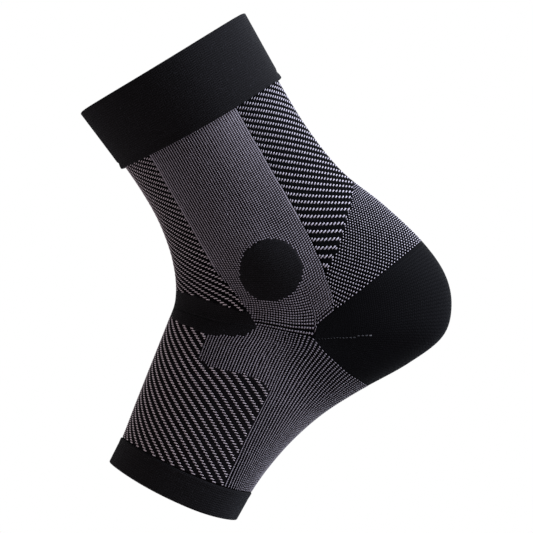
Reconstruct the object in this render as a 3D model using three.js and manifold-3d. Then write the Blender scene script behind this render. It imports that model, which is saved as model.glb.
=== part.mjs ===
// Knitted ankle bracing sleeve, open at the calf and at the toes, in the form it has when worn.
// Millimetres. +Z runs up the leg, +X towards the heel, and the sleeve is mirrored in the plane Y = 0.
// The origin is the ankle's centre, midway between the two round patches.

import * as THREE from "three";
import { mergeVertices } from "three/addons/utils/BufferGeometryUtils.js";
import Module from "manifold-3d";

// Knit thickness, and the gap that neighbouring panels keep
const WALL = 1.5;
const SEAM_GAP = 0.3;

// Doubled welts: how far they stand out from the knit, and how far the cuff laps over the leg tube
const CUFF_STAND = 1.8;
const CUFF_LAP = 7;
const HEM_STAND = 0.5;
const HEM_WALL = 2.2;

// Round patches over the ankle bones
const PATCH_RADIUS = 14.6;
const BONE_RADIUS = 24;
const BONE_RISE = 2.2;

// Squareness of each ring's front half, where 2 is an ellipse
const FRONT_POWER = 2.1;

// Facets of the lofted tube and of the round patches
const SIDES = 40;
const PATCH_SIDES = 40;
const LEG_STEPS = 30;
const CUFF_STEPS = 3;
const HEM_STEPS = 2;

// Reach of the cutting prisms past the sleeve, and the turn round a ring at which its side lies
const REACH = 160;
const SIDE_TURN = 0.25;

// Closest that two corners lie before they count as one
const MERGE_DISTANCE = 1e-4;

// Rings of the sleeve from the calf rim round the heel to the toe rim, a row for each ring.
// frontX, frontZ and backX, backZ are the ring's ends on the shin or instep and on the heel or sole.
// halfWidth is the ring's reach to either side, and widest is how far back it is reached, front 0 to back 1.
// backPower squares off the rear half, and bow is how far the sides run ahead of the two ends.
const COLUMNS = ["frontX", "frontZ", "backX", "backZ", "halfWidth", "widest", "backPower", "bow"];
const RINGS = [
  [-39.0, 109.0, 48.0, 111.0, 37.0, 0.50, 2.0, 0.9],
  [-35.1, 76.2, 47.5, 75.6, 34.5, 0.50, 2.0, 2.3],
  [-34.0, 59.2, 48.2, 48.7, 31.5, 0.48, 1.9, 2.0],
  [-34.3, 45.9, 52.1, 23.6, 31.0, 0.46, 1.85, 1.5],
  [-36.3, 32.9, 61.1, 0.5, 33.0, 0.42, 1.85, 1.0],
  [-39.0, 23.6, 68.2, -23.4, 34.5, 0.42, 2.0, 0.0],
  [-42.0, 16.6, 69.9, -42.4, 34.5, 0.44, 2.15, 0.0],
  [-45.5, 11.0, 65.0, -57.2, 33.5, 0.46, 2.25, 0.0],
  [-48.0, 8.1, 54.0, -67.5, 33.0, 0.47, 2.35, 0.0],
  [-50.0, 6.4, 33.3, -70.3, 33.0, 0.48, 2.4, 0.0],
  [-53.0, 4.0, 7.2, -69.8, 34.0, 0.50, 2.4, 0.5],
  [-62.1, -3.2, -13.0, -70.7, 36.0, 0.53, 2.4, 1.0],
  [-74.0, -12.6, -31.0, -74.2, 38.0, 0.55, 2.4, 1.6],
  [-87.1, -23.0, -47.1, -79.6, 40.0, 0.56, 2.4, 2.0],
  [-99.6, -33.0, -60.1, -85.6, 41.5, 0.56, 2.4, 2.4],
  [-110.8, -40.6, -73.2, -93.2, 42.0, 0.56, 2.4, 2.8],
];

const TOP_RIM = 0;
const CUFF_EDGE = 1;
const HEM_EDGE = RINGS.length - 2;
const TOE_RIM = RINGS.length - 1;

// Side outlines of the knit zones as x, z corners. Corners beyond the sleeve wrap a zone round front or back.
// The first four are edges that two zones share.
const CREASE_TOP = [[-64, 37], [-34, 4], [-29, -1], [-22.5, -9], [-19, -11.5]];
const CREASE_BOTTOM = [[-18.4, -19.2], [-25.5, -20.6], [-33.6, -16], [-40.6, -11], [-48.5, -1.3], [-62, 22]];
const COLLAR_TOP = [[24, -12], [94, 54]];
const HEEL_TOP = [[110, -17], [37, -28.3], [16.7, -31.1]];

const ZONES = [
  {
    name: "shin_panel",
    colour: 0x4a4548,
    outline: [...CREASE_TOP, [-19.7, -2], [-22.5, 12], [-22.5, REACH], [-REACH, REACH], [-REACH, 37]],
  },
  {
    name: "crease_band",
    colour: 0x161518,
    outline: [...CREASE_TOP, ...CREASE_BOTTOM, [-REACH, 22], [-REACH, 37]],
  },
  {
    name: "instep_panel",
    colour: 0x4a4548,
    outline: [
      ...CREASE_BOTTOM.slice(3).reverse(), [-49.4, -18.7], [-47.6, -24], [-41.4, -29.3], [-34.4, -36],
      [-30, -42], [-28.8, -48], [-102, -97.8], [-REACH, -97.8], [-REACH, 22],
    ].reverse(),
  },
  {
    name: "achilles_panel",
    colour: 0x55525a,
    outline: [[22, REACH], [22, 75], ...COLLAR_TOP, [REACH, 54], [REACH, REACH]],
  },
  {
    name: "heel_collar",
    colour: 0x5d5a62,
    outline: [...COLLAR_TOP, [REACH, 54], [REACH, -17], ...HEEL_TOP, [21.5, -20]],
  },
  {
    name: "heel_cup",
    colour: 0x141316,
    outline: [
      ...HEEL_TOP, [6, -32.8], [2, -35.5], [1.6, -39], [2.6, -45], [7.5, -60.5], [20, -84], [110, -84],
    ],
  },
];

const STIRRUP_COLOUR = 0x5f5b62;
const PLAIN_COLOUR = 0x161518;

const wasm = await Module();
wasm.setup();

const ringColumns = new THREE.CubicInterpolant(
  RINGS.map((_, row) => row),
  RINGS.flat(),
  COLUMNS.length,
);

/** Ring columns by name at a place along the sleeve, from TOP_RIM at the calf to TOE_RIM at the toes. */
function ringAt(row) {
  const values = ringColumns.evaluate(THREE.MathUtils.clamp(row, TOP_RIM, TOE_RIM));
  return Object.fromEntries(COLUMNS.map((column, index) => [column, values[index]]));
}

/** Point of the knit's outer face, where turn runs 0 to 1 from the front by way of -Y and the back. */
function formPoint(row, turn) {
  const ring = ringAt(row);
  const angle = turn * Math.PI * 2;
  const ahead = Math.cos(angle);
  const aside = Math.sin(angle);
  const power = ahead > 0 ? FRONT_POWER : ring.backPower;
  const reach = ahead > 0 ? ring.widest : 1 - ring.widest;
  const depth = ring.widest - Math.sign(ahead) * reach * Math.abs(ahead) ** (2 / power);
  const width = -Math.sign(aside) * ring.halfWidth * Math.abs(aside) ** (2 / power);
  const chord = new THREE.Vector2(ring.backX - ring.frontX, ring.backZ - ring.frontZ);
  const lead = (ring.bow * aside * aside) / chord.length();
  const point = new THREE.Vector3(
    ring.frontX + chord.x * depth + chord.y * lead,
    width,
    ring.frontZ + chord.y * depth - chord.x * lead,
  );
  const boneDistance = Math.hypot(point.x, point.z) / BONE_RADIUS;
  const bone = boneDistance < 1 ? BONE_RISE * (1 - boneDistance * boneDistance) ** 2 : 0;
  point.y += Math.sign(point.y) * bone;
  return point;
}

/** Point that lies out from the knit's outer face along its normal. */
function wallPoint(row, turn, out) {
  const rowStep = 0.03;
  const turnStep = 0.004;
  const before = Math.max(row - rowStep, TOP_RIM);
  const after = Math.min(row + rowStep, TOE_RIM);
  const along = formPoint(after, turn).sub(formPoint(before, turn));
  const around = formPoint(row, turn + turnStep).sub(formPoint(row, turn - turnStep));
  const normal = along.cross(around).normalize();
  return formPoint(row, turn).addScaledVector(normal, out);
}

/** Closed band swept once round the sleeve from a closed profile of { row, out } corners. */
function sweptBand(profile) {
  const positions = [];
  const index = [];
  const corners = profile.length;
  for (let side = 0; side < SIDES; side += 1) {
    for (const { row, out } of profile) {
      positions.push(...wallPoint(row, side / SIDES, out).toArray());
    }
    for (let corner = 0; corner < corners; corner += 1) {
      const nextSide = (side + 1) % SIDES;
      const nextCorner = (corner + 1) % corners;
      const here = side * corners + corner;
      const onward = side * corners + nextCorner;
      const beside = nextSide * corners + corner;
      const across = nextSide * corners + nextCorner;
      index.push(here, across, onward, here, beside, across);
    }
  }
  const geometry = new THREE.BufferGeometry();
  geometry.setAttribute("position", new THREE.Float32BufferAttribute(positions, 3));
  geometry.setIndex(index);
  return geometry;
}

/** Profile side that runs from one row to another at a constant height over the knit. */
function profileRun(fromRow, toRow, out, steps) {
  return Array.from({ length: steps + 1 }, (_, step) => ({
    row: THREE.MathUtils.lerp(fromRow, toRow, step / steps),
    out,
  }));
}

/** Rows that a length of knit takes up beside a row, measured at the sleeve's side. */
function rowsFor(length, row, nextRow) {
  return length / formPoint(row, SIDE_TURN).distanceTo(formPoint(nextRow, SIDE_TURN));
}

/** Solid that can be cut, made from a closed geometry. */
function solidOf(geometry) {
  geometry.deleteAttribute("normal");
  geometry.deleteAttribute("uv");
  const merged = mergeVertices(geometry, MERGE_DISTANCE);
  return new wasm.Manifold(new wasm.Mesh({
    numProp: 3,
    vertProperties: new Float32Array(merged.attributes.position.array),
    triVerts: new Uint32Array(merged.index.array),
  }));
}

/** Geometry of a cut solid. */
function geometryOf(solid) {
  const mesh = solid.getMesh();
  const geometry = new THREE.BufferGeometry();
  geometry.setAttribute("position", new THREE.Float32BufferAttribute(mesh.vertProperties, 3));
  geometry.setIndex(new THREE.Uint32BufferAttribute(mesh.triVerts, 1));
  geometry.computeVertexNormals();
  return geometry;
}

/** Outline with each edge moved outwards. */
function grownOutline(points, growth) {
  const clockwise = THREE.ShapeUtils.isClockWise(points) ? 1 : -1;
  const edgeNormal = (start, end) => {
    const edge = end.clone().sub(start).normalize();
    return new THREE.Vector2(-edge.y, edge.x).multiplyScalar(clockwise);
  };
  return points.map((point, index) => {
    const previous = points[(index + points.length - 1) % points.length];
    const next = points[(index + 1) % points.length];
    const before = edgeNormal(previous, point);
    const after = edgeNormal(point, next);
    const corner = before.clone().add(after).divideScalar(1 + before.dot(after));
    return point.clone().addScaledVector(corner, growth);
  });
}

/** Prism across the whole sleeve over a side outline. */
function zonePrism(outline, growth) {
  const corners = outline.map(([x, z]) => new THREE.Vector2(x, z));
  const shape = new THREE.Shape(grownOutline(corners, growth));
  const prism = new THREE.ExtrudeGeometry(shape, { depth: 2 * REACH, bevelEnabled: false });
  prism.rotateX(Math.PI / 2).translate(0, REACH, 0);
  return solidOf(prism);
}

/** Round cutter over one ankle bone, on the side that the sign of Y gives. */
function bonePrism(side, radius) {
  const cutter = new THREE.CylinderGeometry(radius, radius, REACH, PATCH_SIDES);
  cutter.translate(0, side * REACH * 0.5, 0);
  return solidOf(cutter);
}

const sleeve = new THREE.Group();
sleeve.name = "ankle_bracing_sleeve";

/** Named piece of the sleeve with its own matt knit material. */
function addPiece(name, geometry, colour) {
  const material = new THREE.MeshStandardMaterial({ color: colour, roughness: 0.9, metalness: 0 });
  const mesh = new THREE.Mesh(geometry, material);
  mesh.name = name;
  sleeve.add(mesh);
}

const lapRow = CUFF_EDGE - rowsFor(CUFF_LAP, CUFF_EDGE, TOP_RIM);
const lapGapRow = lapRow - rowsFor(SEAM_GAP, CUFF_EDGE, TOP_RIM);
const hemGapRow = HEM_EDGE - rowsFor(SEAM_GAP, HEM_EDGE, TOE_RIM);

// Cuff: one doubled band, folded round at the calf rim and rebated where it laps over the leg tube
const foldRow = rowsFor(CUFF_STAND, TOP_RIM, CUFF_EDGE);
const cuffMiddle = (CUFF_STAND - WALL) / 2;
addPiece("top_cuff", sweptBand([
  ...profileRun(CUFF_EDGE, foldRow, CUFF_STAND, CUFF_STEPS),
  { row: TOP_RIM, out: cuffMiddle },
  ...profileRun(foldRow, lapGapRow, -WALL, CUFF_STEPS),
  { row: lapGapRow, out: SEAM_GAP },
  { row: CUFF_EDGE, out: SEAM_GAP },
]), PLAIN_COLOUR);

// Toe hem: one doubled band with a rounded fold at the toe rim
const hemFoldRow = TOE_RIM - rowsFor(HEM_WALL / 2, TOE_RIM, HEM_EDGE);
addPiece("toe_hem", sweptBand([
  { row: TOE_RIM, out: HEM_STAND - HEM_WALL / 2 },
  ...profileRun(hemFoldRow, HEM_EDGE, HEM_STAND, HEM_STEPS),
  ...profileRun(HEM_EDGE, hemFoldRow, HEM_STAND - HEM_WALL, HEM_STEPS),
]), PLAIN_COLOUR);

// Leg and foot tube, divided into the knit zones
let tube = solidOf(sweptBand([
  ...profileRun(hemGapRow, lapRow, 0, LEG_STEPS),
  ...profileRun(lapRow, hemGapRow, -WALL, LEG_STEPS),
]));
const patches = [
  { name: "ankle_patch_left", side: -1 },
  { name: "ankle_patch_right", side: 1 },
];
for (const { name, side } of patches) {
  addPiece(name, geometryOf(tube.intersect(bonePrism(side, PATCH_RADIUS))), PLAIN_COLOUR);
  tube = tube.subtract(bonePrism(side, PATCH_RADIUS + SEAM_GAP));
}
for (const { name, colour, outline } of ZONES) {
  addPiece(name, geometryOf(tube.intersect(zonePrism(outline, 0))), colour);
  tube = tube.subtract(zonePrism(outline, SEAM_GAP));
}
addPiece("stirrup", geometryOf(tube), STIRRUP_COLOUR);

export default sleeve;
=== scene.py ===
"""Looks of the ankle bracing sleeve: one knitted tube in its worn form, in a white studio.

Sizes are millimetres on the sleeve and metres in the studio. +X points to the heel, -X to the toes, +Z up
the leg, and -Y is the side that the camera sees. A wale is a column of stitches that runs from the cuff to
the toes, and a course is a row of stitches round the sleeve.
"""

import logging
import math
from collections.abc import Callable, Sequence
from dataclasses import dataclass, field
from enum import Enum
from typing import Any, Optional, Union

import bmesh
import bpy
import numpy as np
from mathutils import Matrix, Vector


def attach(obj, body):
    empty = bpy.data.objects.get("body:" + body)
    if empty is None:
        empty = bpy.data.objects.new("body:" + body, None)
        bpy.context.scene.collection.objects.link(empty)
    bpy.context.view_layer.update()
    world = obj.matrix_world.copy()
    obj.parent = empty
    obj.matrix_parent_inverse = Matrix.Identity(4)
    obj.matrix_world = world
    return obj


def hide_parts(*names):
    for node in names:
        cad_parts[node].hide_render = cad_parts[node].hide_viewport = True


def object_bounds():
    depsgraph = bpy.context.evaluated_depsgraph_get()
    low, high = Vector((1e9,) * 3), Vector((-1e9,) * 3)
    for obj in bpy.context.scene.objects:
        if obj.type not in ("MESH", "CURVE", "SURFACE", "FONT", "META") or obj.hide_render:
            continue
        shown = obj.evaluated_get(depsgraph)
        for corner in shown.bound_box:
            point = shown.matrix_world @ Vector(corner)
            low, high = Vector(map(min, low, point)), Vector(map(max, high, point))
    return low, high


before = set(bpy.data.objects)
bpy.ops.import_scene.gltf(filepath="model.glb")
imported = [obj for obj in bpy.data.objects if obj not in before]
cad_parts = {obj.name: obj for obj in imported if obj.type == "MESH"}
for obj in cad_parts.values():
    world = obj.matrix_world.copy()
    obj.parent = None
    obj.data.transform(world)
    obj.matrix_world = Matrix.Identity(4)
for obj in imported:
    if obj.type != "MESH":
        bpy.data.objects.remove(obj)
CAD_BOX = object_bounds()

log = logging.getLogger("ankle_sleeve")

Colour = tuple[float, float, float]
Span = tuple[float, float]
Line = tuple[tuple[float, float], ...]
Array = np.ndarray
Measure = Union[float, Array]
Term = Union[float, "Socket"]
MM = 0.001
BODY = "root"
KNIT_UV = "Knit"
BAKE_UV = "OFBake"
FLECK = "fleck"
WALL = 1.5
SEED = 20


class Zone(Enum):
    """Zones of the knit, each named as its panel."""

    STIRRUP = "stirrup"
    SHIN = "shin_panel"
    CREASE = "crease_band"
    INSTEP = "instep_panel"
    ACHILLES = "achilles_panel"
    COLLAR = "heel_collar"
    PATCH_LEFT = "ankle_patch_left"
    PATCH_RIGHT = "ankle_patch_right"
    HEEL = "heel_cup"


class Slot(Enum):
    """Material slots of the record."""

    PLAIN = "plain_knit"
    TWILL = "twill_knit"
    RIB = "rib_knit"
    DOTTED = "dotted_knit"


@dataclass(frozen=True)
class SleeveForm:
    """Outside of the worn sleeve: rounded rings from the calf rim (row 0) to the toe rim (row 15).

    A ring has the X and Z of its front and of its back, its half width, the share of its depth where it is
    widest, the power that rounds its back, and how far its sides bow.
    """

    rings: tuple[tuple[float, ...], ...] = (
        (-39.0, 109.0, 48.0, 111.0, 37.0, 0.50, 2.00, 0.9),
        (-35.1, 76.2, 47.5, 75.6, 34.5, 0.50, 2.00, 2.3),
        (-34.0, 59.2, 48.2, 48.7, 31.5, 0.48, 1.90, 2.0),
        (-34.3, 45.9, 52.1, 23.6, 31.0, 0.46, 1.85, 1.5),
        (-36.3, 32.9, 61.1, 0.5, 33.0, 0.42, 1.85, 1.0),
        (-39.0, 23.6, 68.2, -23.4, 34.5, 0.42, 2.00, 0.0),
        (-42.0, 16.6, 69.9, -42.4, 34.5, 0.44, 2.15, 0.0),
        (-45.5, 11.0, 65.0, -57.2, 33.5, 0.46, 2.25, 0.0),
        (-48.0, 8.1, 54.0, -67.5, 33.0, 0.47, 2.35, 0.0),
        (-50.0, 6.4, 33.3, -70.3, 33.0, 0.48, 2.40, 0.0),
        (-53.0, 4.0, 7.2, -69.8, 34.0, 0.50, 2.40, 0.5),
        (-62.1, -3.2, -13.0, -70.7, 36.0, 0.53, 2.40, 1.0),
        (-74.0, -12.6, -31.0, -74.2, 38.0, 0.55, 2.40, 1.6),
        (-87.1, -23.0, -47.1, -79.6, 40.0, 0.56, 2.40, 2.0),
        (-99.6, -33.0, -60.1, -85.6, 41.5, 0.56, 2.40, 2.4),
        (-110.8, -40.6, -73.2, -93.2, 42.0, 0.56, 2.40, 2.8),
    )
    front_power: float = 2.1
    bone_radius: float = 24.0
    bone_rise: float = 2.2
    row_probe: float = 0.02
    turn_probe: float = 0.002

    @property
    def last_row(self) -> int:
        """Row of the toe rim."""
        return len(self.rings) - 1

    def sections(self, row: Array) -> Array:
        """Works out the ring sizes between the rows of the table, on Catmull-Rom curves.

        Args:
            row: Places along the sleeve.

        Returns:
            The ring columns at each place, in a new first axis.
        """
        table = np.array(self.rings)
        table = np.vstack([2 * table[0] - table[1], table, 2 * table[-1] - table[-2]])
        row = np.clip(row, 0, self.last_row)
        span = np.minimum(row.astype(int), self.last_row - 1)
        part = (row - span)[..., None]
        before, start, end, after = (table[span + step] for step in range(4))
        cubic = 3 * (start - end) + after - before
        square = 2 * before - 5 * start + 4 * end - after
        sizes = start + 0.5 * part * (end - before + part * (square + part * cubic))
        return np.moveaxis(sizes, -1, 0)

    def points(self, row: Array, turn: Array) -> Array:
        """Places points on the outside of the sleeve.

        Args:
            row: Places along the sleeve.
            turn: Shares of a turn from the front, with 0.25 on the -Y side and 0.5 at the back.

        Returns:
            X, Y and Z in the last axis.
        """
        front_x, front_z, back_x, back_z, half_width, _, _, bow = self.sections(row)
        depth, aside = self.ring_shape(row, turn)
        chord_x, chord_z = back_x - front_x, back_z - front_z
        lead = bow * np.sin(2 * np.pi * turn) ** 2 / np.hypot(chord_x, chord_z)
        x = front_x + chord_x * depth + chord_z * lead
        y = -half_width * aside
        z = front_z + chord_z * depth - chord_x * lead
        near_bone = np.clip(1 - (x**2 + z**2) / self.bone_radius**2, 0, None)
        y = y + np.sign(y) * self.bone_rise * near_bone**2
        return np.stack([x, y, z], -1)

    def normals(self, row: Array, turn: Array) -> Array:
        """Finds the outward directions at places on the sleeve.

        Args:
            row: Places along the sleeve.
            turn: Shares of a turn from the front.

        Returns:
            Unit vectors in the last axis.
        """
        down = self.points(row + self.row_probe, turn) - self.points(row - self.row_probe, turn)
        round_about = self.points(row, turn + self.turn_probe) - self.points(row, turn - self.turn_probe)
        outward = np.cross(down, round_about)
        return outward / np.linalg.norm(outward, axis=-1, keepdims=True)

    def raised(self, row: Array, turn: Array, height: Measure) -> Array:
        """Places points at a height over the outside of the sleeve, negative inside it."""
        height = np.broadcast_to(height, np.shape(row))
        return self.points(row, turn) + self.normals(row, turn) * height[..., None]

    def ring_shape(self, row: Array, turn: Array) -> tuple[Array, Array]:
        """Works out where places lie on their rounded ring.

        Args:
            row: Places along the sleeve.
            turn: Shares of a turn from the front.

        Returns:
            Shares of the ring's depth, from 0 at its front to 1 at its back, and of its half width.
        """
        *_, widest, back_power, _ = self.sections(row)
        ahead, aside = np.cos(2 * np.pi * turn), np.sin(2 * np.pi * turn)
        power = np.where(ahead > 0, self.front_power, back_power)
        reach = np.where(ahead > 0, widest, 1 - widest)
        depth = widest - np.sign(ahead) * reach * np.abs(ahead) ** (2 / power)
        return depth, np.sign(aside) * np.abs(aside) ** (2 / power)

    def turn_at(self, row: Array, depth: Array) -> Array:
        """Finds the turn on the -Y side at which a ring has a given depth.

        Args:
            row: Places along the sleeve.
            depth: Shares of the ring's depth.

        Returns:
            Shares of a turn, from 0 to 0.5.
        """
        *_, widest, back_power, _ = self.sections(row)
        front = np.clip((widest - depth) / widest, 0, 1) ** (self.front_power / 2)
        back = np.clip((depth - widest) / (1 - widest), 0, 1) ** (back_power / 2)
        return np.arccos(front - back) / (2 * np.pi)


class Part(Enum):
    """Parts of the knit that have courses of their own."""

    LEG = "leg"
    FOOT = "foot"
    HEEL = "heel"


@dataclass(frozen=True)
class Girdle:
    """Side lines where the leg's courses end and the foot's start, with the heel pouch between them."""

    tip_x: float = 1.7
    tip_z: float = -37.0
    front: Line = ((-70, 35), (-48.5, 7.5), (-34, -8), (-18.2, -19.3), (1.7, -37))
    heel_top: Line = ((6, -32.8), (16.7, -31.1), (37, -28.3), (110, -17))
    heel_front: Line = ((20, -84), (7.5, -60.5), (2.6, -45), (1.6, -39), (1.7, -37))

    def past_leg(self, x: Array, z: Array) -> Array:
        """Tests which places, by X and Z, lie past the last course of the leg."""
        line = np.array([*self.front, *self.heel_top])
        return z < np.interp(x, line[:, 0], line[:, 1])

    def past_heel(self, x: Array, z: Array) -> Array:
        """Tests which places lie past the first course of the foot.

        Args:
            x: X of the places.
            z: Z of the places.

        Returns:
            True for each place past it.
        """
        front, edge = np.array(self.front), np.array(self.heel_front)
        ahead = (x < self.tip_x) & (z < np.interp(x, front[:, 0], front[:, 1]))
        under = (z < self.tip_z) & (x < np.interp(z, edge[:, 1], edge[:, 0]))
        return ahead | under


@dataclass
class KnitField:
    """Lines of one part of the knit on the form: wales down the sleeve and courses round it.

    Wales count from the front by way of the -Y side, and courses from the end nearer the cuff. Two wales are
    held on named lines down the form. The others lie evenly as far as the second one, and behind it they are
    eased towards the middle of the back.
    """

    form: SleeveForm
    part: Part
    half_wales: int
    courses: int
    held_wales: tuple[int, int]
    first_ring: int
    front_line: tuple[float, ...]
    rear_line: tuple[float, ...]
    slack_front: float = 0.0
    slack_sides: float = 0.0
    back_spread: float = 0.0
    back_ease: Span = (1.0, 1.0)
    ease_rows: Span = (11.0, 14.5)
    end_ease: int = 0
    end_power: float = 16.0
    tuck_courses: int = 0
    cuff_row: float = 1.0
    tuck_rows: float = 0.195
    hem_row: float = 13.99
    girdle: Girdle = Girdle()
    table_step: float = 0.05
    fine_step: float = 0.01
    turn_samples: int = 241
    turns: Array = field(init=False, repr=False)
    rows: Array = field(init=False, repr=False)

    def __post_init__(self) -> None:
        """Lays out the wales, then the courses along them."""
        self.turns = self.lay_wales()
        self.rows = self.lay_courses()

    @property
    def wales(self) -> int:
        """Wales all the way round."""
        return 2 * self.half_wales

    def lay_wales(self) -> Array:
        """Spaces the wales along each ring, evenly as far as the rear held one and eased behind it.

        Returns:
            Turn of each wale of the -Y half, at close rows.
        """
        rows = np.arange(0, self.form.last_row + self.table_step / 2, self.table_step)
        rings = self.first_ring + np.arange(len(self.front_line))
        front = self.form.turn_at(rows, np.interp(rows, rings, self.front_line))
        rear = self.form.turn_at(rows, np.interp(rows, rings, self.rear_line))
        samples = np.linspace(0, 0.5, self.turn_samples)
        wales = np.arange(self.half_wales + 1)
        rear_wale = self.held_wales[1]
        behind = np.clip((wales - rear_wale) / (self.half_wales - rear_wale), 0, 1)
        turns = np.zeros((len(rows), len(wales)))
        for place, row in enumerate(rows):
            level = np.full_like(samples, row)
            ring = self.form.points(level, samples)
            length = np.concatenate([[0], np.cumsum(np.linalg.norm(np.diff(ring, axis=0), axis=1))])
            held = np.interp([front[place], rear[place]], samples, length)
            depth = self.form.ring_shape(level, samples)[0] * length[-1]
            spread = self.back_spread * np.clip((length - held[1]) / (length[-1] - held[1]), 0, 1)
            measure = length * (1 - spread) + depth * spread
            ease = np.interp(row, self.ease_rows, self.back_ease)
            at = np.interp(wales, [0, *self.held_wales], [0, *held]) + (length[-1] - held[1]) * behind**ease
            turns[place] = np.interp(at, measure, samples)
        return turns

    def lay_courses(self) -> Array:
        """Spaces the courses along each wale, wider or closer towards its end by the slack.

        The lengths of the wales are evened over their neighbours, so that the courses bend smoothly, and only
        the last courses follow the true end.

        Returns:
            Row of each course line on each wale of the -Y half.
        """
        fine = np.arange(0, self.form.last_row + self.fine_step / 2, self.fine_step)
        shares = np.arange(self.courses + 1) / self.courses
        lengths, spans = [], []
        for wale in range(self.half_wales + 1):
            path = self.form.points(fine, self.turn(fine, np.full_like(fine, wale)))
            x, z = path[:, 0], path[:, 2]
            leg_end = fine[np.argmax(self.girdle.past_leg(x, z))]
            foot_start = fine[np.argmax(self.girdle.past_heel(x, z))]
            ends = {Part.LEG: (self.cuff_row, leg_end), Part.FOOT: (foot_start, self.hem_row),
                    Part.HEEL: (min(leg_end, foot_start), foot_start)}
            lengths.append(np.concatenate([[0], np.cumsum(np.linalg.norm(np.diff(path, axis=0), axis=1))]))
            spans.append(np.interp(ends[self.part], fine, lengths[-1]))
        start, end = np.array(spans).T
        reach = 2 * self.end_ease + 1
        even = np.convolve(np.pad(end - start, self.end_ease, "reflect"), np.full(reach, 1 / reach), "valid")
        laid = np.zeros((self.half_wales + 1, self.courses + 1))
        for wale, length in enumerate(lengths):
            slack = np.interp(wale, [0, self.held_wales[0]], [self.slack_front, self.slack_sides])
            eased = shares * (1 - slack) + shares**2 * slack
            bent = (end[wale] - start[wale] - even[wale]) * shares**self.end_power
            laid[wale] = np.interp(start[wale] + even[wale] * eased + bent, length, fine)
        return laid

    def turn(self, row: Array, wale: Array) -> Array:
        """Finds where wales lie on their rings.

        Args:
            row: Places along the sleeve.
            wale: Wales from the front.

        Returns:
            Shares of a turn from the front.
        """
        wale = np.mod(wale, self.wales)
        far_side = wale > self.half_wales
        near = np.where(far_side, self.wales - wale, wale)
        turn = self.between(self.turns, row / self.table_step, near)
        return np.where(far_side, 1 - turn, turn)

    def between(self, table: Array, down: Array, across: Array) -> Array:
        """Reads a table between its entries.

        Args:
            table: The table.
            down: Places along its first axis.
            across: Places along its second axis.

        Returns:
            The values there.
        """
        down = np.clip(down, 0, table.shape[0] - 1)
        across = np.clip(across, 0, table.shape[1] - 1)
        low = np.minimum(down.astype(int), table.shape[0] - 2)
        left = np.minimum(across.astype(int), table.shape[1] - 2)
        below, beside = down - low, across - left
        upper = table[low, left] * (1 - beside) + table[low, left + 1] * beside
        lower = table[low + 1, left] * (1 - beside) + table[low + 1, left + 1] * beside
        return upper * (1 - below) + lower * below

    def near_wale(self, wale: Array) -> Array:
        """Counts wales from the front on either side."""
        return np.abs(np.mod(wale + self.half_wales, self.wales) - self.half_wales)

    def place(self, wale: Array, course: Array) -> tuple[Array, Array]:
        """Finds the row and turn of places on the knit.

        Args:
            wale: Wales from the front.
            course: Courses from the field's start, negative where it is tucked under the cuff.

        Returns:
            Rows and turns on the form.
        """
        row = self.between(self.rows, self.near_wale(wale), course)
        row = row + np.minimum(course, 0) * self.tuck_rows / max(self.tuck_courses, 1)
        return row, self.turn(row, wale)

    def points(self, wale: Array, course: Array, height: Measure = 0.0) -> Array:
        """Places points of the knit, by wale and course, at a height over the form."""
        row, turn = self.place(wale, course)
        return self.form.raised(row, turn, height)

    def cells(self) -> Array:
        """Gives the wale and course of every cell of the field that has any length.

        Returns:
            One row for each cell.
        """
        courses = np.arange(-self.tuck_courses, self.courses)
        wale, course = (axis.ravel() for axis in np.meshgrid(np.arange(self.wales), courses))
        near = self.near_wale(wale + 0.5)
        last = np.full(len(near), float(self.courses))
        spread = self.between(self.rows, near, last) - self.between(self.rows, near, 0 * last)
        return np.stack([wale, course], -1)[spread > self.table_step]


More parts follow.
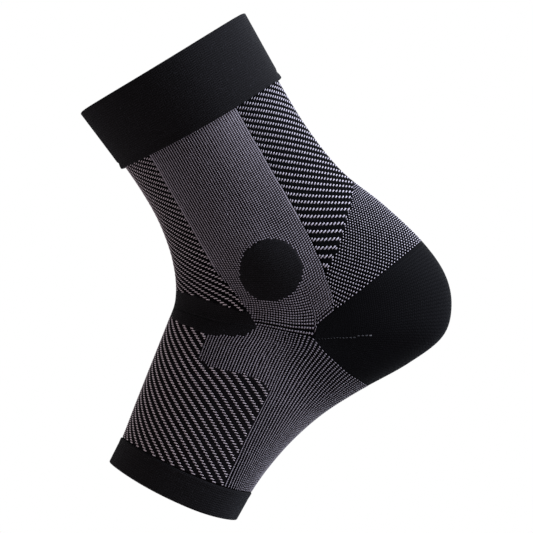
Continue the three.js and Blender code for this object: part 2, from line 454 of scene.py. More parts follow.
@dataclass(frozen=True)
class ZoneOutlines:
    """Side outlines of the zones, as X and Z on both sides of the sleeve."""

    reach: float = 160.0
    patch_radius: float = 14.6
    crease_top: Line = ((-64, 37), (-34, 4), (-29, -1), (-22.5, -9), (-19, -11.5))
    crease_bottom: Line = (
        (-18.4, -19.2), (-25.5, -20.6), (-33.6, -16), (-40.6, -11), (-48.5, -1.3), (-62, 22),
    )
    instep_edge: Line = (
        (-49.4, -18.7), (-47.6, -24), (-41.4, -29.3), (-34.4, -36), (-30, -42), (-28.8, -48), (-102, -97.8),
    )
    instep_start: int = 3
    strap_front: Line = ((-19.7, -2), (-22.5, 12))
    strap_rear: Line = ((23.5, 75), (23.9, 20), (22, -6))
    collar_top: Line = ((21, -14.5), (31.6, -7.4), (45.8, 6.1), (55, 17.2), (94, 62))
    collar_back: float = 54.0
    collar_corner: Span = (18.6, -24.3)
    heel_top: Line = ((110, -17), (37, -28.3), (16.7, -31.1))

    def outline(self, zone: Zone) -> list[Span]:
        """Gives the closed side outline of a zone.

        Args:
            zone: A zone other than the stirrup, the patches and the heel.

        Returns:
            X and Z of its corners.
        """
        far = self.reach
        front, rear = self.strap_front[-1][0], self.strap_rear[0][0]
        brow, fold = (-far, self.crease_top[0][1]), (-far, self.crease_bottom[-1][1])
        hem = (-far, self.instep_edge[-1][1])
        back, heel = (far, self.collar_back), (far, self.heel_top[0][1])
        instep_top = reversed(self.crease_bottom[self.instep_start:])
        outlines = {
            Zone.SHIN: [*self.crease_top, *self.strap_front, (front, far), (-far, far), brow],
            Zone.CREASE: [*self.crease_top, *self.crease_bottom, fold, brow],
            Zone.INSTEP: [*instep_top, *self.instep_edge, hem, fold],
            Zone.ACHILLES: [(rear, far), *self.strap_rear, *self.collar_top, back, (far, far)],
            Zone.COLLAR: [*self.collar_top, back, heel, *self.heel_top, self.collar_corner],
        }
        return outlines[zone]

    def inside(self, corners: Sequence[Span], x: Array, z: Array) -> Array:
        """Tests which places lie in a closed outline.

        Args:
            corners: X and Z of the outline's corners.
            x: X of the places.
            z: Z of the places.

        Returns:
            True for each place inside.
        """
        within = np.zeros(np.shape(x), bool)
        for (x0, z0), (x1, z1) in zip(corners, [*corners[1:], corners[0]]):
            if z0 == z1:
                continue
            crosses = (z0 > z) != (z1 > z)
            within ^= crosses & (x < x0 + (z - z0) * (x1 - x0) / (z1 - z0))
        return within

    def sort(self, part: Part, places: Array) -> dict[Zone, Array]:
        """Sorts places of one part of the knit into the zones.

        Args:
            part: The part.
            places: X, Y and Z of the places.

        Returns:
            A mask over the places for each zone that has any.
        """
        x, y, z = np.moveaxis(places, -1, 0)
        free = np.ones(len(x), bool)
        found: dict[Zone, Array] = {}

        def claim(zone: Zone, mask: Array) -> None:
            """Gives a zone those of its places that are still free."""
            found[zone] = found.get(zone, np.zeros(len(x), bool)) | (mask & free)
            free[found[zone]] = False

        if part is Part.HEEL:
            claim(Zone.HEEL, free.copy())
            return found
        in_patch = np.hypot(x, z) < self.patch_radius
        claim(Zone.PATCH_LEFT, in_patch & (y < 0))
        claim(Zone.PATCH_RIGHT, in_patch & (y > 0))
        for zone in (Zone.SHIN, Zone.CREASE, Zone.INSTEP, Zone.ACHILLES, Zone.COLLAR):
            claim(zone, self.inside(self.outline(zone), x, z))
        if part is Part.LEG:
            claim(Zone.COLLAR, (x > self.heel_top[-1][0]) & (z < self.heel_top[1][1]))
        claim(Zone.STIRRUP, free.copy())
        return {zone: mask for zone, mask in found.items() if mask.any()}


@dataclass
class MeshDraft:
    """Points and faces of one piece, gathered as arrays before its mesh is made."""

    points: list[Array] = field(default_factory=list)
    faces: list[Array] = field(default_factory=list)
    smooth: list[Array] = field(default_factory=list)
    knit_uv: list[Array] = field(default_factory=list)
    bake_uv: list[Array] = field(default_factory=list)
    flecks: list[Array] = field(default_factory=list)

    def add_points(self, points: Array, flecks: Measure = 0.5) -> int:
        """Adds points to the piece.

        Args:
            points: X, Y and Z of the points, in millimetres.
            flecks: How pale the yarn is at each point, from 0 to 1.

        Returns:
            The number of the first one.
        """
        first = sum(len(group) for group in self.points)
        self.points.append(points.reshape(-1, 3))
        self.flecks.append(np.broadcast_to(flecks, len(self.points[-1])))
        return first

    def add_faces(
        self, faces: Array, knit_uv: Array, bake_uv: Array, smooth: bool = True,
    ) -> None:
        """Adds faces that all have the same number of corners.

        Args:
            faces: Point numbers of each face's corners.
            knit_uv: Wale and course of each corner.
            bake_uv: Place of each corner on the piece's own texture.
            smooth: Whether the faces are shaded smooth.
        """
        self.faces.append(faces)
        self.smooth.append(np.full(len(faces), smooth))
        self.knit_uv.append(knit_uv.reshape(-1, 2))
        self.bake_uv.append(bake_uv.reshape(-1, 2))

    def build(self, name: str, material: bpy.types.Material) -> bpy.types.Object:
        """Makes the piece's object.

        Args:
            name: Name of the piece.
            material: Finish of the piece.

        Returns:
            The new object, in metres.
        """
        points = np.vstack(self.points) * MM
        corners = np.concatenate([group.ravel() for group in self.faces])
        sizes = np.concatenate([np.full(len(group), group.shape[1]) for group in self.faces])
        mesh = bpy.data.meshes.new(name)
        mesh.vertices.add(len(points))
        mesh.vertices.foreach_set("co", points.astype(np.float32).ravel())
        mesh.loops.add(len(corners))
        mesh.loops.foreach_set("vertex_index", corners.astype(np.int32))
        mesh.polygons.add(len(sizes))
        starts = np.concatenate([[0], np.cumsum(sizes)[:-1]])
        mesh.polygons.foreach_set("loop_start", starts.astype(np.int32))
        mesh.polygons.foreach_set("use_smooth", np.concatenate(self.smooth))
        for uv_name, groups in ((BAKE_UV, self.bake_uv), (KNIT_UV, self.knit_uv)):
            layer = mesh.uv_layers.new(name=uv_name)
            layer.uv.foreach_set("vector", np.vstack(groups).astype(np.float32).ravel())
        flecks = mesh.attributes.new(FLECK, "FLOAT", "POINT")
        flecks.data.foreach_set("value", np.concatenate(self.flecks).astype(np.float32))
        mesh.update(calc_edges=True)
        mesh.validate()
        mesh.materials.append(material)
        piece = bpy.data.objects.new(name, mesh)
        bpy.context.scene.collection.objects.link(piece)
        return piece


def dress(piece: bpy.types.Object, node: str) -> None:
    """Ties a piece to the body and hides the node that it replaces.

    Args:
        piece: The piece.
        node: Name of the node.
    """
    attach(piece, BODY)
    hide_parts(node)


class Socket:
    """A shader value with arithmetic: an expression on values adds the Math nodes that work it out."""

    def __init__(self, shader: "Shader", link: bpy.types.NodeSocket) -> None:
        """Wraps an output socket of a shader's node."""
        self.shader = shader
        self.link = link

    def math(self, operation: str, *others: Term, flipped: bool = False) -> "Socket":
        """Adds a Math node over this value and others, with this value last where it is flipped."""
        values = [*others, self] if flipped else [self, *others]
        return self.shader.node("ShaderNodeMath", {"operation": operation}, dict(enumerate(values)))

    def __add__(self, other: Term) -> "Socket":
        """Adds two values."""
        return self.math("ADD", other)

    __radd__ = __add__

    def __sub__(self, other: Term) -> "Socket":
        """Takes a value from this one."""
        return self.math("SUBTRACT", other)

    def __rsub__(self, other: Term) -> "Socket":
        """Takes this value from another."""
        return self.math("SUBTRACT", other, flipped=True)

    def __mul__(self, other: Term) -> "Socket":
        """Multiplies two values."""
        return self.math("MULTIPLY", other)

    __rmul__ = __mul__

    def __pow__(self, other: Term) -> "Socket":
        """Raises this value to a power."""
        return self.math("POWER", other)

    def __abs__(self) -> "Socket":
        """Drops the sign."""
        return self.math("ABSOLUTE")

    def fract(self) -> "Socket":
        """Keeps the part after the point."""
        return self.math("FRACT")

    def clamped(self) -> "Socket":
        """Keeps the value from 0 to 1."""
        return self.math("MAXIMUM", 0.0).math("MINIMUM", 1.0)

    def hump(self) -> "Socket":
        """Turns 0 to 1 into a round hump that is 1 in the middle."""
        return 1 - (self * 2 - 1) ** 2


class Shader:
    """A material under construction."""

    def __init__(self, name: str) -> None:
        """Starts a material with one Principled shader.

        Args:
            name: Name of the material.
        """
        self.material = bpy.data.materials.new(name)
        self.material.use_nodes = True
        self.tree = self.material.node_tree
        self.surface = self.tree.nodes["Principled BSDF"]

    def node(self, kind: str, settings: Optional[dict[str, Any]] = None,
             sockets: Optional[dict[Union[int, str], Any]] = None, output: Union[int, str] = 0) -> Socket:
        """Adds a node.

        Args:
            kind: The node's type.
            settings: Its properties, set first.
            sockets: Values or links of its inputs, by number or name.
            output: The output that is wanted.

        Returns:
            That output.
        """
        made = self.tree.nodes.new(kind)
        for key, value in (settings or {}).items():
            setattr(made, key, value)
        for key, value in (sockets or {}).items():
            self.feed(made.inputs[key], value)
        return Socket(self, made.outputs[output])

    def feed(self, target: bpy.types.NodeSocket, value: Any) -> None:
        """Links a value into an input, or sets it there.

        Args:
            target: The input.
            value: A socket, a number, a colour or a vector.
        """
        if isinstance(value, Socket):
            self.tree.links.new(value.link, target)
        elif isinstance(value, tuple) and len(value) == 3 and target.type == "RGBA":
            target.default_value = (*value, 1)
        else:
            target.default_value = value

    def mix(self, factor: Term, first: Any, second: Any) -> Socket:
        """Mixes two colours, or sockets of colours, with the factor as the share of the second one."""
        return self.node("ShaderNodeMix", {"data_type": "RGBA"}, {0: factor, 6: first, 7: second}, 2)

    def noise(self, scale: float, detail: float = 2.0) -> Socket:
        """Adds noise about 0.5 over the object's own coordinates, with scale in lumps to a metre."""
        place = self.node("ShaderNodeTexCoord", output="Object")
        return self.node("ShaderNodeTexNoise", None, {"Vector": place, "Scale": scale, "Detail": detail})

    def stitch_coordinates(self) -> tuple[Socket, Socket]:
        """Reads the wale and the course of each place on the surface.

        Returns:
            The two values.
        """
        uv = self.node("ShaderNodeUVMap", {"uv_map": KNIT_UV})
        split = self.node("ShaderNodeSeparateXYZ", None, {0: uv})
        return split, Socket(self, split.link.node.outputs[1])

    def bump(self, height: Socket, strength: float, relief: float) -> Socket:
        """Turns heights into a normal, with the relief in millimetres."""
        sockets = {"Strength": strength, "Distance": relief * MM, "Height": height}
        return self.node("ShaderNodeBump", None, sockets)

    def set_surface(self, **inputs: Any) -> None:
        """Sets inputs of the Principled shader, with underscores for spaces in their names."""
        for key, value in inputs.items():
            self.feed(self.surface.inputs[key.replace("_", " ")], value)


@dataclass(frozen=True)
class KnitFinish:
    """What the finishes of the knit share: dull fibre with a faint sheen, slow patches and a fine relief."""

    name: str = "knit"
    relief: float = 0.25
    bump: float = 0.8
    roughness: float = 0.9
    specular: float = 0.02
    sheen: float = 0.005
    sheen_tint: Colour = (0.72, 0.7, 0.85)
    sheen_roughness: float = 0.4
    patch_scale: float = 38.0
    patch_detail: float = 3.0

    def set_surface(self, shader: Shader, colour: Socket, roughness: Socket, height: Socket) -> None:
        """Sets up the surface of the fibre.

        Args:
            shader: The material under construction.
            colour: Colour of the surface.
            roughness: Its roughness.
            height: Heights of its relief.
        """
        shader.set_surface(
            Base_Color=colour,
            Roughness=roughness,
            Specular_IOR_Level=self.specular,
            Sheen_Weight=self.sheen,
            Sheen_Roughness=self.sheen_roughness,
            Sheen_Tint=self.sheen_tint,
            Normal=shader.bump(height, self.bump, self.relief),
        )


@dataclass(frozen=True)
class JerseyFinish(KnitFinish):
    """Plain black jersey: V-shaped loops in relief, with painted shade in their hollows, slow patches of wear
    and fine lint.
    """

    name: str = "black_jersey"
    # Painted shade: deep is the colour of the hollows between the loops, and face the colour of their crests.
    deep: Colour = (0.0008, 0.0006, 0.0007)
    face: Colour = (0.0022, 0.0017, 0.002)
    lint: Colour = (0.010, 0.009, 0.011)
    slant: float = 0.45
    loop_floor: float = 0.3
    loop_rise: float = 0.7
    patch_floor: float = 0.6
    patch_gain: float = 0.8
    lint_scale: float = 2600.0
    lint_detail: float = 1.0
    lint_least: float = 0.62
    lint_gain: float = 4.0
    crest_shine: float = 0.12

    def material(self) -> bpy.types.Material:
        """Builds the shader.

        Returns:
            The material.
        """
        shader = Shader(self.name)
        wale, course = shader.stitch_coordinates()
        aside = abs(wale.fract() * 2 - 1)
        loop = (course + aside * self.slant).fract().hump()
        height = loop * (self.loop_floor + self.loop_rise * aside.hump())
        patches = shader.noise(self.patch_scale, self.patch_detail)
        lint = (shader.noise(self.lint_scale, self.lint_detail) - self.lint_least) * self.lint_gain
        # Painted shade: the hollows of the relief take the deep colour, and the crests take the face colour
        # in patches of wear.
        face = shader.mix(height * (self.patch_floor + patches * self.patch_gain), self.deep, self.face)
        colour = shader.mix(lint.clamped(), face, self.lint)
        self.set_surface(shader, colour, self.roughness - self.crest_shine * height, height)
        return shader.material


@dataclass(frozen=True)
class HeelJersey(JerseyFinish):
    """Closer and duller jersey of the heel pouch."""

    name: str = "heel_jersey"
    deep: Colour = (0.0005, 0.0004, 0.0005)
    face: Colour = (0.0013, 0.0011, 0.0013)
    lint: Colour = (0.004, 0.0037, 0.0043)
    relief: float = 0.15
    specular: float = 0.01
    sheen: float = 0.0025


@dataclass(frozen=True)
class PaintedShadeGround(JerseyFinish):
    """Black jersey under the raised stitches, darker than the plain jersey: painted shade for the light that
    the stitches keep off it.
    """

    name: str = "painted_shade_ground"
    deep: Colour = (0.0002, 0.00015, 0.0002)
    face: Colour = (0.0008, 0.0007, 0.0008)
    lint: Colour = (0.004, 0.0037, 0.0044)
    specular: float = 0.005
    sheen: float = 0.001


@dataclass(frozen=True)
class InstepGround(PaintedShadeGround):
    """Lighter ground between the stripes of the instep, with nearly the plain jersey's colours instead of the
    painted shade of the ground under the other stitches.
    """

    name: str = "instep_ground"
    deep: Colour = (0.0007, 0.00055, 0.0006)
    face: Colour = (0.0022, 0.0018, 0.0021)


@dataclass(frozen=True)
class PaleYarnFinish(KnitFinish):
    """Pale raised yarn: each stitch a little lighter or darker than the next, with twisted plies."""

    name: str = "twill_yarn"
    dull: Colour = (0.102, 0.078, 0.085)
    bright: Colour = (0.137, 0.108, 0.117)
    roughness: float = 0.62
    specular: float = 0.25
    sheen: float = 0.05
    sheen_tint: Colour = (0.85, 0.85, 1.0)
    sheen_roughness: float = 0.45
    fleck_share: float = 0.7
    patch_scale: float = 55.0
    patch_share: float = 0.4
    patch_roughness: float = 0.15
    ply_pitch: float = 5.0
    ply_share: float = 0.12
    relief: float = 0.08
    darkening: float = 0.1
    bump: float = 0.5

    def material(self) -> bpy.types.Material:
        """Builds the shader.

        Returns:
            The material.
        """
        shader = Shader(self.name)
        wale, course = shader.stitch_coordinates()
        fleck = shader.node("ShaderNodeAttribute", {"attribute_name": FLECK}, output="Fac")
        plies = ((wale + course) * self.ply_pitch).fract().hump()
        patches = shader.noise(self.patch_scale, self.patch_detail)
        pale = fleck * self.fleck_share + patches * self.patch_share + plies * self.ply_share - self.darkening
        colour = shader.mix(pale.clamped(), self.dull, self.bright)
        self.set_surface(shader, colour, self.roughness + self.patch_roughness * patches, plies)
        return shader.material


@dataclass(frozen=True)
class BlueLitBackYarn(PaleYarnFinish):
    """Yarn of the twill on the back of the leg: the shin's yarn made cooler, a painted tint of the bluish
    light that falls on the back.
    """

    name: str = "blue_lit_back_yarn"
    dull: Colour = (0.097, 0.079, 0.093)
    bright: Colour = (0.14, 0.116, 0.135)


@dataclass(frozen=True)
class RibYarn(PaleYarnFinish):
    """Darker yarn of the strap."""

    name: str = "rib_yarn"
    dull: Colour = (0.049, 0.0375, 0.0455)
    bright: Colour = (0.067, 0.053, 0.063)


@dataclass(frozen=True)
class DotYarn(PaleYarnFinish):
    """Palest yarn, in the dots over the heel."""

    name: str = "dot_yarn"
    dull: Colour = (0.108, 0.09, 0.105)
    bright: Colour = (0.168, 0.142, 0.164)


@dataclass(frozen=True)
class GoreYarn(PaleYarnFinish):
    """Black yarn of the heel's closing line, pale at its end."""

    name: str = "gore_yarn"
    dull: Colour = (0.004, 0.0036, 0.0042)
    bright: Colour = (0.05, 0.046, 0.05)
    specular: float = 0.05
    sheen: float = 0.01


@dataclass(frozen=True)
class FloorFinish:
    """Matt white studio paper with a faint grain."""

    name: str = "studio_paper"
    shade: Colour = (0.6, 0.6, 0.6)
    light: Colour = (0.64, 0.64, 0.64)
    grain_scale: float = 900.0
    roughness: float = 0.95
    specular: float = 0.1

    def material(self) -> bpy.types.Material:
        """Builds the shader.

        Returns:
            The material.
        """
        shader = Shader(self.name)
        shader.set_surface(
            Base_Color=shader.mix(shader.noise(self.grain_scale), self.shade, self.light),
            Roughness=self.roughness,
            Specular_IOR_Level=self.specular,
        )
        return shader.material


@dataclass
class KnitSleeve:
    """What every piece of the sleeve shares: the fields of the knit and their cells, sorted into zones."""

    form: SleeveForm = SleeveForm()
    outlines: ZoneOutlines = ZoneOutlines()
    relaxed_wale: float = 1.0
    stretch: float = 1.15
    least_share: float = 0.31
    texture_margin: float = 1.0
    fields: dict[Part, KnitField] = field(init=False, repr=False)
    cells: dict[Zone, dict[Part, Array]] = field(init=False, repr=False)

    def __post_init__(self) -> None:
        """Lays out the fields and sorts their cells by the places of their middles."""
        leg_lines: dict[str, Any] = {
            "half_wales": 97,
            "held_wales": (28, 68),
            "first_ring": 0,
            "front_line": (0.186, 0.153, 0.141, 0.138, 0.142, 0.152, 0.172, 0.2, 0.21, 0.225, 0.28),
            "rear_line": (0.722, 0.710, 0.704, 0.676, 0.615, 0.571, 0.555, 0.571, 0.61, 0.69, 0.84),
            "back_spread": 0.65,
            "back_ease": (1.1, 1.1),
        }
        leg = KnitField(
            self.form, Part.LEG, courses=106, slack_front=-0.12, slack_sides=0.2, tuck_courses=6, end_ease=9,
            **leg_lines,
        )
        heel = KnitField(self.form, Part.HEEL, courses=48, **leg_lines)
        foot = KnitField(
            self.form, Part.FOOT, courses=75, half_wales=84, held_wales=(27, 55), first_ring=8,
            back_ease=(1.15, 0.81),
            front_line=(0.185, 0.19, 0.205, 0.235, 0.25, 0.255, 0.26, 0.26),
            rear_line=(0.45, 0.516, 0.597, 0.675, 0.728, 0.772, 0.795, 0.80),
        )
        self.fields = {knit.part: knit for knit in (leg, heel, foot)}
        self.cells = {zone: {} for zone in Zone}
        for part, knit in self.fields.items():
            cells = knit.cells()
            middles = knit.points(cells[:, 0] + 0.5, cells[:, 1] + 0.5)
            for zone, mask in self.outlines.sort(part, middles).items():
                self.cells[zone][part] = cells[mask]

    def flat_size(self, zone: Zone, worn: float) -> tuple[Span, float]:
        """Works out a panel's size off the leg, from its worn area and the stretch of the knit.

        Args:
            zone: The panel's zone.
            worn: Area of the panel's outside as worn, in square millimetres.

        Returns:
            Width and length of the flat rectangle round the panel, and the panel's own area, in metres.
        """
        groups = list(self.cells[zone].values())
        wales = max(np.unique(group[:, 0]).size for group in groups)
        courses = sum(np.unique(group[:, 1]).size for group in groups)
        share = max(sum(map(len, groups)) / (wales * courses), self.least_share)
        area = worn / self.stretch * MM**2
        width = wales * self.relaxed_wale * MM
        return (width, area / (share * width)), area

    def texture_frame(self, zone: Zone, part: Part) -> Callable[[Array], Array]:
        """Fits the wales and courses of a zone's part into that part's strip of the zone's texture.

        Args:
            zone: The zone.
            part: The part of the knit.

        Returns:
            A function from wale and course to the unit square.
        """
        knit = self.fields[part]
        wale, course = self.cells[zone][part].T
        across_front = np.where(wale > knit.half_wales, wale - knit.wales, wale)
        wraps = np.ptp(across_front) < np.ptp(wale)
        held = across_front if wraps else wale
        low = np.array([held.min(), course.min()]) - self.texture_margin
        span = np.array([np.ptp(held), np.ptp(course)]) + 2 * self.texture_margin + 1
        parts = list(self.cells[zone])
        strip, strips = parts.index(part), len(parts)

        def fit(place: Array) -> Array:
            """Maps places to the unit square.

            Args:
                place: Wale and course in the last axis.

            Returns:
                Places on the texture, in the last axis.
            """
            shift = np.where(wraps & (place[..., :1] > knit.half_wales + 1), knit.wales, 0)
            moved = np.concatenate([place[..., :1] - shift, place[..., 1:]], -1)
            unit = np.clip((moved - low) / span, 0, 1)
            return (unit + np.array([strip, 0])) / np.array([strips, 1])

        return fit


@dataclass
class KnitPanel:
    """One zone's black ground: a shell of knit cells with an outside, an inside and the edges between."""

    sleeve: KnitSleeve
    zone: Zone
    finish: JerseyFinish
    wall: float = WALL
    texture_half: float = 0.48
    least_edge: float = 1e-6

    def build(self, with_pieces: Sequence[bpy.types.Object] = ()) -> bpy.types.Object:
        """Args:
            with_pieces: The raised stitches on it; not used.

        Returns:
            The panel's object.
        """
        draft = MeshDraft()
        worn = sum(self.add_shell(draft, part) for part in self.sleeve.cells[self.zone])
        piece = draft.build(f"{self.zone.value}_knit", self.finish.material())
        self.close_points(piece.data)
        dress(piece, self.zone.value)
        flat, area = self.sleeve.flat_size(self.zone, worn)
        list(with_pieces)
        return piece

    def close_points(self, mesh: bpy.types.Mesh) -> None:
        """Joins the points of a mesh that fall together where the courses of the heel run out.

        Args:
            mesh: The panel's mesh.
        """
        shape = bmesh.new()
        shape.from_mesh(mesh)
        bmesh.ops.dissolve_degenerate(shape, dist=self.least_edge, edges=shape.edges)
        shape.to_mesh(mesh)
        shape.free()

    def add_shell(self, draft: MeshDraft, part: Part) -> float:
        """Adds the closed shell of one part of the knit.

        Args:
            draft: The panel's draft.
            part: The part.

        Returns:
            The area of the shell's outside, in square millimetres.
        """
        knit = self.sleeve.fields[part]
        corners = self.sleeve.cells[self.zone][part][:, None, :] + np.array([[0, 0], [0, 1], [1, 1], [1, 0]])
        keys = np.mod(corners[..., 0], knit.wales) + knit.wales * (corners[..., 1] + knit.wales)
        shared, numbers = np.unique(keys, return_inverse=True)
        quads = numbers.reshape(-1, 4)
        wale = np.mod(shared, knit.wales).astype(float)
        course = (shared // knit.wales - knit.wales).astype(float)
        outer = knit.points(wale, course)
        outside = draft.add_points(outer)
        inside = draft.add_points(knit.points(wale, course, -self.wall))
        fit = self.sleeve.texture_frame(self.zone, part)
        stitch = corners.astype(float)
        low_half = np.array([1.0, self.texture_half])
        high = np.array([0.0, 1 - self.texture_half])
        draft.add_faces(quads + outside, stitch, fit(stitch) * low_half + high)
        draft.add_faces(quads[:, ::-1] + inside, stitch[:, ::-1], fit(stitch[:, ::-1]) * low_half)
        starts, ends = quads.ravel(), np.roll(quads, -1, 1).ravel()
        count = len(shared)
        rim = ~np.isin(starts * count + ends, ends * count + starts)
        start, end = starts[rim], ends[rim]
        here, there = stitch.reshape(-1, 2)[rim], np.roll(stitch, -1, 1).reshape(-1, 2)[rim]
        edge = np.stack([there, here, here, there], 1)
        walls = np.stack([end + outside, start + outside, start + inside, end + inside], 1)
        draft.add_faces(walls, edge, fit(edge) * low_half + high, smooth=False)
        across, along = outer[quads[:, 2]] - outer[quads[:, 0]], outer[quads[:, 3]] - outer[quads[:, 1]]
        return float(np.linalg.norm(np.cross(across, along), axis=-1).sum() / 2)


@dataclass
class Stitches:
    """Places and half sizes of stitches on one part of the knit, in wales and courses."""

    middle: Array
    half_wale: Array
    half_course: Array
    lean: Measure = 0.0
    pale: Optional[Array] = None


@dataclass
class RaisedStitches:
    """Pale stitches of one zone, each a small closed pill of yarn half sunk in the ground.

    Half lengths and half widths are in wales and courses.
    """

    sleeve: KnitSleeve
    zone: Zone
    finish: PaleYarnFinish
    slot: Slot
    rise: float = 0.14
    sink: float = 0.15
    crown: float = 0.64
    shoulder: float = 0.66
    seed: int = SEED

    def ring(self) -> Array:
        """Gives the corners of a stitch that is pointed across the wales, as shares of its half sizes."""
        side = self.shoulder
        return np.array([[-1, 0], [-side, -1], [side, -1], [1, 0], [side, 1], [-side, 1]])

    def lay(self, knit: KnitField, cells: Array) -> Stitches:
        """Lays the stitches, as each kind of stitch does in its own way.

        Args:
            knit: The field of the knit.
            cells: Wale and course of the zone's cells there.

        Returns:
            The stitches.
        """
        raise NotImplementedError

    def build(self, name: str, far_side: Optional[bool] = None) -> bpy.types.Object:
        """Builds and dresses the stitches.

        Args:
            name: Name of the piece.
            far_side: Whether the piece holds the +Y side alone or the -Y side alone, or both if left out.

        Returns:
            The piece.
        """
        draft = MeshDraft()
        for part in self.sleeve.cells[self.zone]:
            self.add_part(draft, part, far_side)
        piece = draft.build(name, self.finish.material())
        dress(piece, self.zone.value)
        return piece

    def add_part(self, draft: MeshDraft, part: Part, far_side: Optional[bool]) -> None:
        """Adds the stitches on one part of the knit.

        Args:
            draft: The piece's draft.
            part: The part.
            far_side: The side that is wanted, or None for both.
        """
        knit = self.sleeve.fields[part]
        cells = self.sleeve.cells[self.zone][part]
        cells = cells[cells[:, 1] >= 0]
        if far_side is not None:
            cells = cells[(cells[:, 0] >= knit.half_wales) == far_side]
        laid = self.lay(knit, cells)
        ring = self.ring()
        half = np.stack([laid.half_wale, laid.half_course], -1)[:, None, :]
        spread = ring * half
        spread[..., 1] -= np.reshape(laid.lean, (-1, 1)) * ring[:, 0]
        stitch = laid.middle[:, None, :] + np.concatenate([spread, spread * self.crown], 1)
        height = np.repeat([-self.sink, self.rise], len(ring))
        points = knit.points(stitch[..., 0], stitch[..., 1], np.broadcast_to(height, stitch.shape[:2]))
        flecks = np.random.default_rng(self.seed).random(len(stitch)) if laid.pale is None else laid.pale
        first = draft.add_points(points, np.repeat(flecks, 2 * len(ring)))
        fit = self.sleeve.texture_frame(self.zone, part)
        starts = first + 2 * len(ring) * np.arange(len(stitch))[:, None]
        base_ring = np.arange(len(ring))
        top_ring = base_ring + len(ring)
        sides = np.stack([base_ring, top_ring, np.roll(top_ring, -1), np.roll(base_ring, -1)], 1)
        for face in (*sides, base_ring, top_ring[::-1]):
            draft.add_faces(starts + face, stitch[:, face], fit(stitch[:, face]))


@dataclass
class TwillStitches(RaisedStitches):
    """Diagonal stripes of dashes that step one wale a course."""

    repeat: int = 4
    rear_half_length: float = 0.8
    rear_half_width: float = 0.36
    front_half_length: float = 0.97
    front_half_width: float = 0.31
    foot_wales: Span = (8.0, 46.0)
    foot_half_widths: Span = (0.43, 0.24)
    leg_lean: float = 0.56

    def lay(self, knit: KnitField, cells: Array) -> Stitches:
        """Lays dashes over two wales, cut to one wale where the zone's edge cuts them.

        The far side counts its wales back from the front, so that the stripes run on across the front. Behind
        the leg they run on across the back.

        Args:
            knit: The field of the knit.
            cells: Wale and course of the zone's cells there.

        Returns:
            The dashes.
        """
        far_wale = (cells[:, 0] > knit.half_wales) & (self.zone is not Zone.ACHILLES)
        step = np.mod(cells[:, 0] - knit.wales * far_wale - cells[:, 1], self.repeat)
        first, second = cells[step == 0], cells[step == 1]
        behind_first = np.mod(first + [1, 0], [knit.wales, knit.courses + 1])
        whole = np.isin(behind_first @ [knit.wales, 1], second @ [knit.wales, 1])
        before_second = np.mod(second - [1, 0], [knit.wales, knit.courses + 1])
        alone = ~np.isin(before_second @ [knit.wales, 1], first @ [knit.wales, 1])
        middle = np.vstack([first[whole] + [1.0, 0.5], first[~whole] + 0.5, second[alone] + 0.5])
        near_wale = np.minimum(middle[:, 0], knit.wales - middle[:, 0])
        behind = near_wale > knit.held_wales[1]
        half_length = np.where(behind, self.rear_half_length, self.front_half_length)
        half_length[np.count_nonzero(whole):] /= 2
        half_width = np.where(behind, self.rear_half_width, self.front_half_width)
        if knit.part is Part.FOOT:
            half_width = np.interp(near_wale, self.foot_wales, self.foot_half_widths)
        lean = self.leg_lean * (1 - middle[:, 1] / knit.courses) * (knit.part is Part.LEG)
        return Stitches(middle, half_length, half_width, lean)


@dataclass
class DotStitches(RaisedStitches):
    """Single staggered dots."""

    half_length: float = 0.21
    half_width: float = 0.27

    def lay(self, knit: KnitField, cells: Array) -> Stitches:
        """Lays a dot on every cell, with every other course half a wale along.

        Args:
            knit: The field of the knit.
            cells: Wale and course of the zone's cells there.

        Returns:
            The dots.
        """
        dots = np.stack([cells[:, 0] + 0.25 + 0.5 * (cells[:, 1] % 2), cells[:, 1] + 0.5], -1)
        return Stitches(dots, np.full(len(dots), self.half_length), np.full(len(dots), self.half_width))


